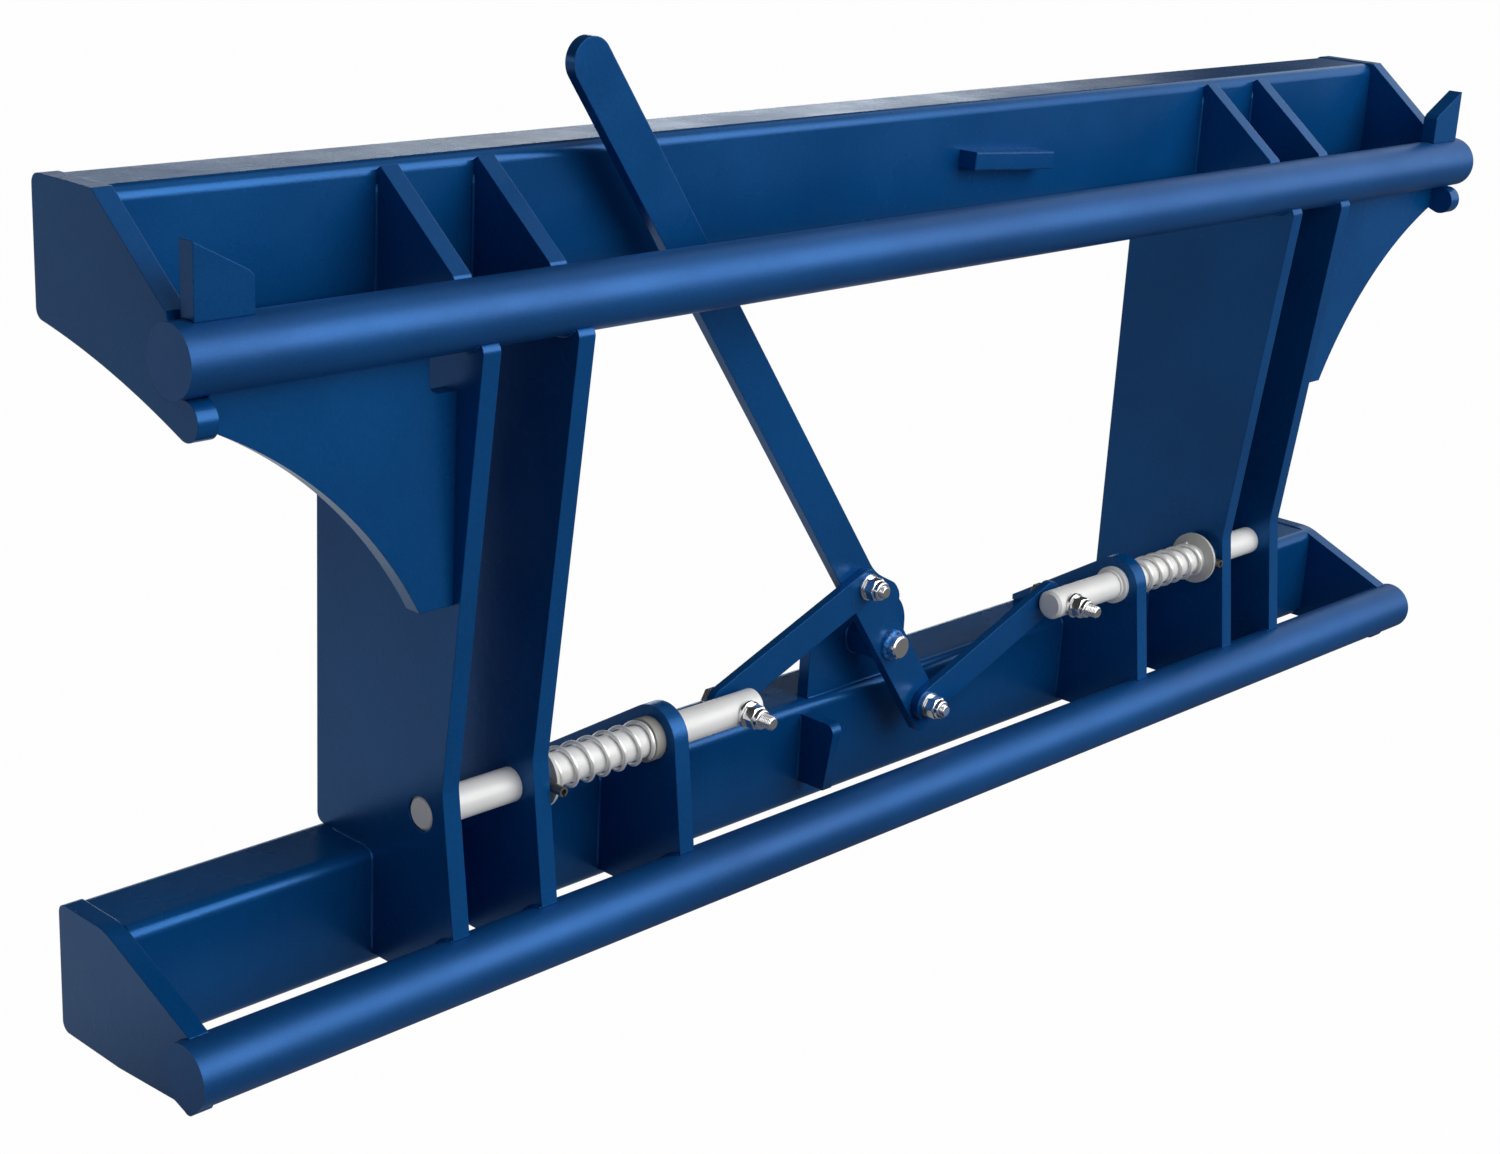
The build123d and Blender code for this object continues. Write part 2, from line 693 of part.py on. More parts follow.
def make_pivot():
    """Post on the lower beam, its sleeve, and the pivot pin that is welded to the lever."""
    post_top = pin_z + post_rise
    with BuildPart() as post:
        with BuildSketch(Plane.XZ.offset(-post_back_y)) as face:
            with BuildLine():
                Polyline((-post_w / 2, lower_beam_top), (-post_w / 2, post_top),
                         (post_w / 2, post_top), (post_w / 2, lower_beam_top), close=True)
            make_face()
            for u in (-post_w / 2, post_w / 2):
                fillet(corner(face, u, post_top), post_corner_r)
            with Locations((0, pin_z)):
                Circle(pivot_d / 2 + pin_fit, mode=Mode.SUBTRACT)
        extrude(amount=post_t)
    save(post, "pivot_post")
    with BuildPart() as sleeve:
        add_disc(0, pin_z, sleeve_front_y, post_front_y, sleeve_d, pivot_d + 2 * pin_fit)
    save(sleeve, "pivot_sleeve")
    washer_front_y = post_back_y + play
    washer_back_y = washer_front_y + washer_t
    split_pin_y = washer_back_y + split_pin_d / 2
    with BuildPart() as pin:
        add_rod(0, pin_z, lever_front_y - pivot_nose, washer_back_y + pivot_tail, pivot_d,
                bolt_chamfer)
        with BuildSketch(Plane.XY.offset(pin_z)):
            with Locations((0, split_pin_y)):
                Circle(split_pin_d / 2)
        extrude(amount=pivot_d, both=True, mode=Mode.SUBTRACT)
    save(pin, "pivot_pin")
    pivot_r = pivot_d / 2
    with BuildPart() as weld:
        with BuildSketch(Plane.YZ):
            with BuildLine():
                Polyline((lever_front_y, pin_z + pivot_r), (lever_front_y, pin_z + pivot_weld_d / 2),
                         (lever_front_y - pivot_weld_t, pin_z + pivot_r), close=True)
            make_face()
        revolve(axis=Axis((0, 0, pin_z), (0, 1, 0)))
    save(weld, "pivot_weld")
    with BuildPart() as washer:
        add_disc(0, pin_z, washer_front_y, washer_back_y, pivot_washer_d, pivot_d)
    save(washer, "pivot_washer")
    with BuildPart() as split_pin:
        with BuildSketch(Plane.XY.offset(pin_z)):
            with Locations((0, split_pin_y)):
                Circle(split_pin_d / 2)
        extrude(amount=split_pin_length / 2, both=True)
    save(split_pin, "pivot_split_pin")


def make_lever_rest():
    """Strip on the upper beam that backs the lever when it is open."""
    with BuildPart() as rest:
        with BuildSketch(Plane.XZ.offset(-beam_front)):
            with Locations(Location((rest_x, upper_beam_bottom + rest_rise), rest_tilt)):
                Rectangle(rest_length, rest_h)
        extrude(amount=rest_reach)
        chamfer(rest.faces().sort_by(Axis.Y)[0].edges(), rest_chamfer)
    save(rest, "lever_rest")


def make_lever_stop():
    """Rib on the lower beam that the tail of the lever comes up to when open."""
    top_z = lower_beam_top - stop_top
    with BuildPart() as stop:
        with BuildSketch(Plane.YZ.offset(stop_x)) as face:
            with BuildLine():
                Polyline((beam_front, top_z), (beam_front - stop_reach, top_z),
                         (beam_front - stop_foot_reach, top_z - stop_h),
                         (beam_front, top_z - stop_h), close=True)
            make_face()
            fillet(corner(face, beam_front - stop_reach, top_z), corner_r)
        extrude(amount=stop_t / 2, both=True)
    save(stop, "lever_stop")


make_beam("upper_beam", upper_beam_z)
make_beam("lower_beam", lower_beam_z)
make_bar("upper_hook_tube", upper_bar_z)
make_bar("lower_tube", lower_bar_z)
make_bar_caps()

for side, hand in ((-1, "left"), (1, "right")):
    make_side_plate(f"{hand}_inner_side_plate", side * inner_plate_x)
    make_side_plate(f"{hand}_outer_side_plate", side * outer_plate_x)
    make_upper_end_plate(f"{hand}_upper_end_plate", side * end_plate_x)
    make_lower_end_plate(f"{hand}_lower_end_plate", side * end_plate_x)
    make_gusset(f"{hand}_gusset", side)
    make_guide_tab(f"{hand}_guide_tab", side)
    make_pin_bracket(f"{hand}_pin_bracket", side * bracket_x)
    make_bush(f"{hand}_bush", side)
    make_locking_pin(f"{hand}_locking_pin", side)
    make_spring_washer(f"{hand}_spring_washer", side)
    make_spring(f"{hand}_spring", side)
    make_link(f"{hand}_link", side)
    make_pin_fasteners(hand, side)

make_roll_pin("left_roll_pin", -1, left_roll_pin_lead)
make_roll_pin("right_roll_pin", 1, right_roll_pin_lead)
make_lever()
make_lever_fasteners()
make_pivot()
make_lever_rest()
make_lever_stop()

# How far the parts move between locked and open, for the joints.
opened = radians(lever_open)
link_length = sqrt((link_bolt_x - lever_arm * sin(lean)) ** 2 + (lever_arm * cos(lean)) ** 2)
open_bolt_x = sqrt(link_length ** 2 - (lever_arm * cos(opened)) ** 2) - lever_arm * sin(opened)
turn = lever_lean + lever_open
print("pin axis y, z", pin_y, pin_z, "lever turn", turn, "link length", round(link_length, 3))
print("pin travel", round(link_bolt_x - open_bolt_x, 3))
locked_slope = degrees(atan2(lever_arm * cos(lean), link_bolt_x - lever_arm * sin(lean)))
open_slope = degrees(atan2(lever_arm * cos(opened), open_bolt_x + lever_arm * sin(opened)))
print("link turns on the lever by", round(-turn - (open_slope - locked_slope), 3))
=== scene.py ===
import json
from math import cos, pi, radians, sin, tan

import bmesh
import bpy
from mathutils import Matrix, Vector


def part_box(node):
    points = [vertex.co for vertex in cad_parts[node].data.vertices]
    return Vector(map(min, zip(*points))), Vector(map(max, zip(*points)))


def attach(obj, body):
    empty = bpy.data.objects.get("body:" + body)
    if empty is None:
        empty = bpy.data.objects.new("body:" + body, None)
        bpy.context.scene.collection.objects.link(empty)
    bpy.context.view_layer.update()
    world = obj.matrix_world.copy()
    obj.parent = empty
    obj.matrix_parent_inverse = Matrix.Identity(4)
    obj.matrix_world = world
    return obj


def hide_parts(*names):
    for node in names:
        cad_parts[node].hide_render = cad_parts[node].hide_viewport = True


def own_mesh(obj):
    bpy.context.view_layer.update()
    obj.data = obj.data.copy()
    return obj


MM = 0.001

HANDS = ("left", "right")

# Camera of the photograph, fitted to the frame's corners
CAMERA_PLACE = Vector((-1.6627, -1.3670, 0.9260))
CAMERA_HEADING = radians(47.19)      # from +Y towards +X
CAMERA_DIP = radians(18.48)
CAMERA_ROLL = radians(3.256)
CAMERA_LENS = 59.70
CAMERA_SENSOR = 36.0
CAMERA_REACH = 100.0

# Key lamp
KEY_PLACE = Vector((1.0, -2.9, 2.2))
KEY_TARGET = Vector((0.0, 0.0, 0.3))
KEY_SIZE = (4.2, 3.0)
KEY_POWER = 124

# World. The strengths count the white background as 1. Each span is one of a ray's direction:
# of its height for STRIP_TOP and ROOF_EDGE, and of its measure along REARWARDS for the others.
WORLD_LIGHT = 0.22                   # what the surroundings give off
WALL_LIGHT = 0.04                    # the rear wall in reflections
STRIP_LIGHT = 3.4                    # the strip along its foot
FRONT_LIGHT = 1.5                    # what lies on the front side, in reflections
ROOF_LIGHT = 0.5                     # and the same side overhead
REARWARDS = (-0.6, 1.0, 0.0)
WALL_EDGE = (-0.15, 0.0)             # the wall begins
STRIP_EDGE = (0.05, 0.19)            # the strip begins
STRIP_FALL = (0.3, 0.55)             # the strip falls to a share of its strength
STRIP_FAR = 0.5
STRIP_TOP = (0.10, 0.18)             # the strip ends
ROOF_EDGE = (0.42, 0.62)             # the roof begins

# Floor
FLOOR_HALF = 30.0
FLOOR_DARK = (0.38, 0.38, 0.38)
FLOOR_LIGHT = (0.40, 0.40, 0.40)
FLOOR_BACK = (-0.15, 1.0, 0.0)       # the spans below are metres along this
NEAR_SPAN, NEAR_GLOW = (-0.05, 0.25), (0.15, 0.75)    # the shade under the part
FAR_SPAN, FAR_GLOW = (0.5, 2.0), (1.0, 0.75)          # and a weaker one far behind it
MIRRORED_SHARE = 0.9                 # of glow in what reflections see of the floor
SEEN_SHARE = 0.985                   # and in what the camera sees of it
WHITE = (1.0, 1.0, 1.0, 1.0)

# Textures
NOISE_SPAN = (0.3, 0.7)              # where nearly all values of a noise lie

# Weld beads
BEAD_R = 1.9 * MM
SLEEVE_BEAD_R = 2.4 * MM
PIVOT_BEAD_R = 2.8 * MM
PIVOT_BEAD_GAP = 0.8 * MM            # from the pin to the middle of its bead
PIVOT_BEAD_LIFT = 1.0 * MM           # from the lever to the middle of the bead
BEAD_STEP = 1.5 * MM
BEAD_SIDES = 8
BEAD_PHASE_X = 37                    # radians per metre, so that the beads differ
BEAD_PHASE_Z = 53
RIPPLE_PITCH = 3.4 * MM
RIPPLE_DEPTH = 0.12
DRIFT_DEPTH = 0.07                   # slow change of thickness along a bead
DRIFT_TURN = 0.071                   # radians per step
TAPER_START = 0.45                   # thickness at the ends of a bead
TAPER_RISE = 0.14                    # growth per step

# Where the beads lie. An arc round a tube has its first and last angle in degrees, 0 at +Y.
SIDE_PLATE_UPPER_ARC = (60, -132)
SIDE_PLATE_LOWER_ARC = (88, -42)
BRACKET_ARC = (86, -42)
END_PLATE_UPPER_ARC = (44, -112)
END_PLATE_LOWER_ARC = (72, -56)
ARC_PARTS = 24
LONG_ARC_PARTS = 40
CIRCLE_PARTS = 48
CORNER_PARTS = 6
BEAM_CORNER = 10.0 * MM
BEAM_TOP_GAP = 16.0 * MM             # bare height at the top of the upper beam's front
BEAM_FOOT_GAP = 14.0 * MM            # and at the foot of the lower beam's front
BEAM_BACK_GAP = 20.0 * MM            # bare depth at the back of both
STOP_TOP_GAP = 2.0 * MM

# Springs
SPRING_WIRE_R = 1.75 * MM
SPRING_TURNS = 6.2
SPRING_END_TURNS = 0.3
SPRING_END_PITCH = 2.1               # of the closed turns, in radii of the wire
SPRING_PHASE = 0.38                  # turns from the rear to the end of the wire at the bush
SPRING_STEPS = 36                    # per turn
SPRING_SIDES = 12

# Bolts and nuts, M12
BOLT_R = 6.0 * MM
BOLT_SIDES = 28
THREAD_PITCH = 1.75 * MM
THREAD_DEPTH = 0.8 * MM
THREAD_STEP = 0.35 * MM
BOLT_POINT = 1.5 * MM                # chamfer at the front end
BORE_R = 5.7 * MM
HEX_FLATS = 19.0 * MM
HEX_ROUND_R = 10.65 * MM             # corners are rounded off at this radius
HEX_FACE_R = 8.9 * MM                # the round face inside the chamfer
HEX_SLOPE = radians(30)
HEX_SIDES = 48
CHAMFER_SHARES = (0.0, 0.25, 0.5, 0.75, 1.0)
NUT_T = 11.0 * MM
NUT_COLLAR_R = 8.75 * MM
NUT_COLLAR_ROUND = 2.0 * MM
NUT_COLLAR_PARTS = 6
HEAD_T = 7.5 * MM
SHARP_ANGLE = radians(28)

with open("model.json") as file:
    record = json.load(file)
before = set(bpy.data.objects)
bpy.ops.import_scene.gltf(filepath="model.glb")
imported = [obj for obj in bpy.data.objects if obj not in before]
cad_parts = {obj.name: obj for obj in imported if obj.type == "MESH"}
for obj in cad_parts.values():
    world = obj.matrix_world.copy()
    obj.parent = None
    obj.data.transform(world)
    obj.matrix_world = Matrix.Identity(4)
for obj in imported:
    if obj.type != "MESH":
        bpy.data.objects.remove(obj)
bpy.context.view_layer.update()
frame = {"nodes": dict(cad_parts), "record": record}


def corners(name):
    low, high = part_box(name)
    return Vector(low), Vector(high)


def node_size(name):
    low, high = corners(name)
    return high - low


def node_middle(name):
    low, high = corners(name)
    return (high + low) / 2


# Materials

def shader_node(tree, kind, inputs=None, **settings):
    """A new node with its settings and its unlinked input values."""
    node = tree.nodes.new(kind)
    for name, value in settings.items():
        setattr(node, name, value)
    for name, value in (inputs or {}).items():
        node.inputs[name].default_value = value
    return node


def new_material(name):
    """A material with its Principled shader, and object coordinates for its textures."""
    material = bpy.data.materials.new(name)
    material.use_nodes = True
    tree = material.node_tree
    shader = tree.nodes["Principled BSDF"]
    place = shader_node(tree, "ShaderNodeTexCoord")
    return material, tree, shader, place.outputs["Object"]


def add_noise(tree, place, scale, detail):
    noise = shader_node(tree, "ShaderNodeTexNoise", {"Scale": scale, "Detail": detail})
    tree.links.new(place, noise.inputs["Vector"])
    return noise.outputs["Fac"]


def add_range(tree, value, ends, span=NOISE_SPAN):
    """Maps the span of a value to the two ends of a range."""
    spread = shader_node(
        tree, "ShaderNodeMapRange",
        {"From Min": span[0], "From Max": span[1], "To Min": ends[0], "To Max": ends[1]},
    )
    tree.links.new(value, spread.inputs["Value"])
    return spread.outputs["Result"]


def add_colours(tree, value, *stops):
    """A colour ramp over a texture's value; each stop is (place, colour)."""
    ramp = shader_node(tree, "ShaderNodeValToRGB")
    elements = ramp.color_ramp.elements
    while len(elements) < len(stops):
        elements.new(0.5)
    for element, (place, colour) in zip(elements, stops):
        element.position = place
        element.color = (*colour, 1.0)
    tree.links.new(value, ramp.inputs["Fac"])
    return ramp.outputs["Color"]


def multiply(tree, first, second):
    product = shader_node(tree, "ShaderNodeMath", operation="MULTIPLY")
    tree.links.new(first, product.inputs[0])
    tree.links.new(second, product.inputs[1])
    return product.outputs["Value"]


def blend(tree, factor, first, second):
    """The first value where the factor is 0, the second where it is 1."""
    mix = shader_node(tree, "ShaderNodeMix", data_type="FLOAT")
    for socket, value in ((0, factor), (2, first), (3, second)):
        tree.links.new(value, mix.inputs[socket])
    return mix.outputs[0]


def measure_along(tree, place, direction):
    """How far a place, or a ray's direction, reaches along another direction."""
    dot = shader_node(tree, "ShaderNodeVectorMath", {1: direction}, operation="DOT_PRODUCT")
    tree.links.new(place, dot.inputs[0])
    return dot.outputs["Value"]


def add_bump(tree, shader, layers, edge_r):
    """Bump over edges rounded by edge_r, from layers of (height, strength, distance)."""
    normal = None
    if edge_r > 0:
        bevel = shader_node(tree, "ShaderNodeBevel", {"Radius": edge_r}, samples=4)
        normal = bevel.outputs["Normal"]
    for height, strength, distance in layers:
        bump = shader_node(tree, "ShaderNodeBump", {"Strength": strength, "Distance": distance})
        tree.links.new(height, bump.inputs["Height"])
        if normal is not None:
            tree.links.new(normal, bump.inputs["Normal"])
        normal = bump.outputs["Normal"]
    tree.links.new(normal, shader.inputs["Normal"])


def make_paint(name, roughness, metallic, specular, tint, edge_r):
    """Blue powder coat: fine mottling, slight orange peel, faint clouds in colour and gloss."""
    material, tree, shader, place = new_material(name)
    clouds = add_noise(tree, place, 5.0, 4.0)
    mottling = add_noise(tree, place, 420.0, 2.0)
    mixed = shader_node(tree, "ShaderNodeMath", {1: 0.5}, operation="MULTIPLY_ADD")
    tree.links.new(mottling, mixed.inputs[0])
    tree.links.new(clouds, mixed.inputs[2])
    colour = add_colours(
        tree, mixed.outputs["Value"],
        (0.48, (0.0008, 0.0550, 0.2020)),
        (0.98, (0.0020, 0.0810, 0.2830)),
    )
    tree.links.new(colour, shader.inputs["Base Color"])
    patches = add_noise(tree, place, 14.0, 3.0)
    tree.links.new(add_range(tree, patches, roughness), shader.inputs["Roughness"])
    shader.inputs["Metallic"].default_value = metallic
    shader.inputs["Specular IOR Level"].default_value = specular
    shader.inputs["Specular Tint"].default_value = (*tint, 1.0)
    rolling = add_noise(tree, place, 38.0, 2.0)
    add_bump(tree, shader, [(rolling, 0.25, 0.0006), (mottling, 0.45, 0.0002)], edge_r)
    return material


def make_highlighted_bead_paint():
    """Weld round the pivot pin, rough and speckled, in a brighter blue that is a painted
    highlight.
    """
    material, tree, shader, place = new_material("blue_weld_painted_highlight")
    speckles_and_glints = add_noise(tree, place, 260.0, 2.0)
    # Painted highlight: the bright blue speckles stand in for glints of light on the weld.
    colour = add_colours(
        tree, speckles_and_glints,
        (0.38, (0.0010, 0.0400, 0.1600)),
        (0.62, (0.0060, 0.2400, 0.7800)),
    )
    tree.links.new(colour, shader.inputs["Base Color"])
    tree.links.new(add_range(tree, speckles_and_glints, (0.45, 0.20)), shader.inputs["Roughness"])
    add_bump(tree, shader, [(speckles_and_glints, 0.8, 0.0012)], 0)
    return material


def make_metal(name, dark, light, metallic, roughness, edge_r):
    """Steel with a faint cloudiness in colour and gloss."""
    material, tree, shader, place = new_material(name)
    clouds = add_noise(tree, place, 22.0, 2.0)
    colour = add_colours(tree, clouds, (NOISE_SPAN[0], dark), (NOISE_SPAN[1], light))
    tree.links.new(colour, shader.inputs["Base Color"])
    shader.inputs["Metallic"].default_value = metallic
    smudges = add_noise(tree, place, 45.0, 2.0)
    tree.links.new(add_range(tree, smudges, roughness), shader.inputs["Roughness"])
    grain = add_noise(tree, place, 700.0, 1.0)
    add_bump(tree, shader, [(grain, 0.05, 0.0001)], edge_r)
    return material


PAINT = make_paint(
    "blue_powder_coat", roughness=(0.23, 0.30), metallic=0.3, specular=0.3,
    tint=(0.60, 0.86, 1.0), edge_r=1.2 * MM,
)
TUBE_PAINT = make_paint(
    "blue_powder_coat_tubes", roughness=(0.43, 0.51), metallic=0.42, specular=0.5,
    tint=(0.76, 0.88, 1.0), edge_r=0,
)
# Paint of the pivot weld, with its painted highlight.
HIGHLIGHTED_BEAD_PAINT = make_highlighted_bead_paint()
ZINC = make_metal(
    "bright_zinc", dark=(0.74, 0.75, 0.76), light=(0.84, 0.84, 0.84), metallic=1.0,
    roughness=(0.14, 0.22), edge_r=0.3 * MM,
)
PIN_STEEL = make_metal(
    "plated_bar", dark=(0.80, 0.80, 0.79), light=(0.86, 0.86, 0.85), metallic=0.06,
    roughness=(0.42, 0.50), edge_r=0.5 * MM,
)
SPRING_STEEL = make_metal(
    "spring_wire", dark=(0.90, 0.90, 0.88), light=(0.95, 0.95, 0.93), metallic=0.5,
    roughness=(0.30, 0.38), edge_r=0,
)
# Painted shade: the left bush alone gets this darker grey, standing in for the shade it lies in;
# the right bush stays bright steel.
SHADED_BUSH_STEEL = make_metal(
    "bush_steel_painted_shade", dark=(0.28, 0.28, 0.26), light=(0.40, 0.39, 0.36), metallic=0.1,
    roughness=(0.50, 0.60), edge_r=0.5 * MM,
)
WASHER_STEEL = make_metal(
    "washer_steel", dark=(0.54, 0.54, 0.53), light=(0.62, 0.62, 0.61), metallic=0.1,
    roughness=(0.44, 0.52), edge_r=0.5 * MM,
)
ROLL_STEEL = make_metal(
    "roll_pin_steel", dark=(0.20, 0.19, 0.17), light=(0.30, 0.29, 0.26), metallic=0.8,
    roughness=(0.30, 0.40), edge_r=0,
)

FINISH_OF_SLOT = {
    "blue_paint": PAINT,
    "zinc": ZINC,
    "bright_steel": PIN_STEEL,
    "spring_steel": SPRING_STEEL,
}
FINISH_OF_NODE = {
    "upper_hook_tube": TUBE_PAINT,
    "lower_tube": TUBE_PAINT,
    "tube_end_caps": TUBE_PAINT,
    "pivot_pin": ZINC,
    "pivot_weld": HIGHLIGHTED_BEAD_PAINT,
    "left_spring_washer": WASHER_STEEL,
    "right_spring_washer": WASHER_STEEL,
    # The left bush's darker grey is painted shade.
    "left_bush": SHADED_BUSH_STEEL,
    "left_roll_pin": ROLL_STEEL,
    "right_roll_pin": ROLL_STEEL,
}


def dress_cad_nodes():
    """Gives each CAD node its own finish, or else that of its material slot."""
    for part in frame["record"]["subparts"]:
        node = frame["nodes"][part["node"]]
        finish = FINISH_OF_NODE.get(part["node"], FINISH_OF_SLOT[part["material_slot"]])
        if not node.material_slots:
            node.data.materials.append(finish)
        for slot in node.material_slots:
            slot.material = finish


# Mesh helpers

def take_mesh(shell, name):
    """The mesh of a finished shell, which is freed."""
    mesh = bpy.data.meshes.new(name)
    shell.to_mesh(mesh)
    shell.free()
    return mesh


def finish_piece(name, mesh, body, finish):
    """A smooth piece with its finish, riding on its body."""
    for polygon in mesh.polygons:
        polygon.use_smooth = True
    mesh.materials.append(finish)
    piece = bpy.data.objects.new(name, mesh)
    bpy.context.scene.collection.objects.link(piece)
    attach(piece, body)
    return piece


def add_tube(shell, path, radii, sides):
    """A round skin along a path, with a radius for each point of it."""
    rings = []
    normal = None
    last = len(path) - 1
    for index, point in enumerate(path):
        along = (path[min(index + 1, last)] - path[max(index - 1, 0)]).normalized()
        if normal is None:
            normal = along.orthogonal().normalized()
        normal = (normal - along * normal.dot(along)).normalized()
        across = along.cross(normal)
        ring = []
        for side in range(sides):
            angle = 2 * pi * side / sides
            offset = normal * cos(angle) + across * sin(angle)
            ring.append(shell.verts.new(point + offset * radii[index]))
        rings.append(ring)
    for ring, following in zip(rings, rings[1:]):
        for side in range(sides):
            other = (side + 1) % sides
            shell.faces.new((ring[side], ring[other], following[other], following[side]))
    shell.faces.new(list(reversed(rings[0])))
    shell.faces.new(rings[-1])


def spaced(points, step):
    """Points at an even step along a run of straight pieces."""
    lengths = [(b - a).length for a, b in zip(points, points[1:])]
    count = max(2, round(sum(lengths) / step))
    result = []
    for index in range(count + 1):
        left = sum(lengths) * index / count
        for a, b, length in zip(points, points[1:], lengths):
            if left <= length or b is points[-1]:
                result.append(a.lerp(b, min(1.0, left / length)))
                break
            left -= length
    return result


def add_bead(shell, points, r=BEAD_R):
    """A weld bead with ripples, tapered at both ends, along a run of points."""
    path = spaced(points, BEAD_STEP)
    last = len(path) - 1
    phase = points[0].x * BEAD_PHASE_X + points[0].z * BEAD_PHASE_Z
    radii = []
    for index in range(len(path)):
        ripple = RIPPLE_DEPTH * sin(2 * pi * index * BEAD_STEP / RIPPLE_PITCH + phase)
        drift = DRIFT_DEPTH * sin(index * DRIFT_TURN + phase * 3)
        taper = min(1.0, TAPER_START + TAPER_RISE * min(index, last - index))
        radii.append(r * taper * (1 + ripple + drift))
    add_tube(shell, path, radii, BEAD_SIDES)


def arc_x(x, y, z, r, start, end, parts=ARC_PARTS):
    """Points round an axis along X, from one angle to another in degrees, 0 at +Y."""
    angles = [radians(start + (end - start) * part / parts) for part in range(parts + 1)]
    return [Vector((x, y + r * cos(angle), z + r * sin(angle))) for angle in angles]


def circle_y(x, y, z, r):
    """Points round an axis along Y."""
    angles = [2 * pi * part / CIRCLE_PARTS for part in range(CIRCLE_PARTS + 1)]
    return [Vector((x + r * cos(angle), y, z + r * sin(angle))) for angle in angles]


# Welds

upper_tube = node_middle("upper_hook_tube")
lower_tube = node_middle("lower_tube")
tube_r = node_size("upper_hook_tube").y / 2
upper_low, upper_high = corners("upper_beam")
lower_low, lower_high = corners("lower_beam")


def plate_faces(name):
    """Where the two faces of an upright plate lie along X."""
    low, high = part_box(name)
    return low[0], high[0]


def tube_run(x, tube, arc, parts=ARC_PARTS):
    """Round a tube, where a plate meets it."""
    return arc_x(x, tube.y, tube.z, tube_r, *arc, parts)


def upper_beam_run(x):
    """Down the front of the upper beam, round its lower corner and back below it."""
    low, high, r = upper_low, upper_high, BEAM_CORNER
    return [
        Vector((x, low.y, high.z - BEAM_TOP_GAP)),
        *arc_x(x, low.y + r, low.z + r, r, 180, 270, CORNER_PARTS),
        Vector((x, high.y - BEAM_BACK_GAP, low.z)),
    ]


def lower_beam_run(x):
    """Over the top of the lower beam, round its upper corner and down its front."""
    low, high, r = lower_low, lower_high, BEAM_CORNER
    return [
        Vector((x, high.y - BEAM_BACK_GAP, high.z)),
        *arc_x(x, low.y + r, high.z - r, r, 90, 180, CORNER_PARTS),
        Vector((x, low.y, low.z + BEAM_FOOT_GAP)),
    ]


def weld_side_plates(shell):
    """Each side plate is welded to both tubes and both beams, on both of its faces."""
    for hand in HANDS:
        for place in ("inner", "outer"):
            for x in plate_faces(f"{hand}_{place}_side_plate"):
                add_bead(shell, tube_run(x, upper_tube, SIDE_PLATE_UPPER_ARC, LONG_ARC_PARTS))
                add_bead(shell, tube_run(x, lower_tube, SIDE_PLATE_LOWER_ARC))
                add_bead(shell, upper_beam_run(x))
                add_bead(shell, lower_beam_run(x))


def weld_brackets(shell):
    for hand in HANDS:
        for x in plate_faces(f"{hand}_pin_bracket"):
            add_bead(shell, tube_run(x, lower_tube, BRACKET_ARC))
            add_bead(shell, lower_beam_run(x))


def weld_end_plates(shell):
    """The end plates are welded to the tubes on their inner faces."""
    for hand in HANDS:
        for name, tube, arc in (
            (f"{hand}_upper_end_plate", upper_tube, END_PLATE_UPPER_ARC),
            (f"{hand}_lower_end_plate", lower_tube, END_PLATE_LOWER_ARC),
        ):
            inner = min(plate_faces(name), key=abs)
            add_bead(shell, tube_run(inner, tube, arc))


def weld_pivot(shell):
    """The pivot post is welded to the lower beam, and the sleeve to the post."""
    low, high = corners("pivot_post")
    for y in (low.y, high.y):
        add_bead(shell, [Vector((low.x, y, low.z)), Vector((high.x, y, low.z))])
    sleeve = node_middle("pivot_sleeve")
    sleeve_r = node_size("pivot_sleeve").x / 2
    add_bead(shell, circle_y(sleeve.x, low.y, sleeve.z, sleeve_r), SLEEVE_BEAD_R)


def weld_lever_stop(shell):
    """The lever's stop is welded to the front of the lower beam."""
    low, high = corners("lever_stop")
    for x in (low.x, high.x):
        top = Vector((x, high.y, high.z - STOP_TOP_GAP))
        add_bead(shell, [Vector((x, high.y, low.z)), top])


def make_frame_welds():
    shell = bmesh.new()
    weld_side_plates(shell)
    weld_brackets(shell)
    weld_end_plates(shell)
    weld_pivot(shell)
    weld_lever_stop(shell)
    mesh = take_mesh(shell, "frame_welds")
    finish_piece("frame_welds", mesh, "frame", PAINT)


def make_pivot_bead():
    """Rippled bead round the pivot pin, on the front of the lever."""
    shell = bmesh.new()
    pin = node_middle("pivot_pin")
    pin_r = node_size("pivot_pin").x / 2
    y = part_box("lever")[0][1] - PIVOT_BEAD_LIFT
    add_bead(shell, circle_y(pin.x, y, pin.z, pin_r + PIVOT_BEAD_GAP), PIVOT_BEAD_R)
    mesh = take_mesh(shell, "pivot_bead")
    finish_piece("pivot_bead", mesh, "lever", HIGHLIGHTED_BEAD_PAINT)


# Springs

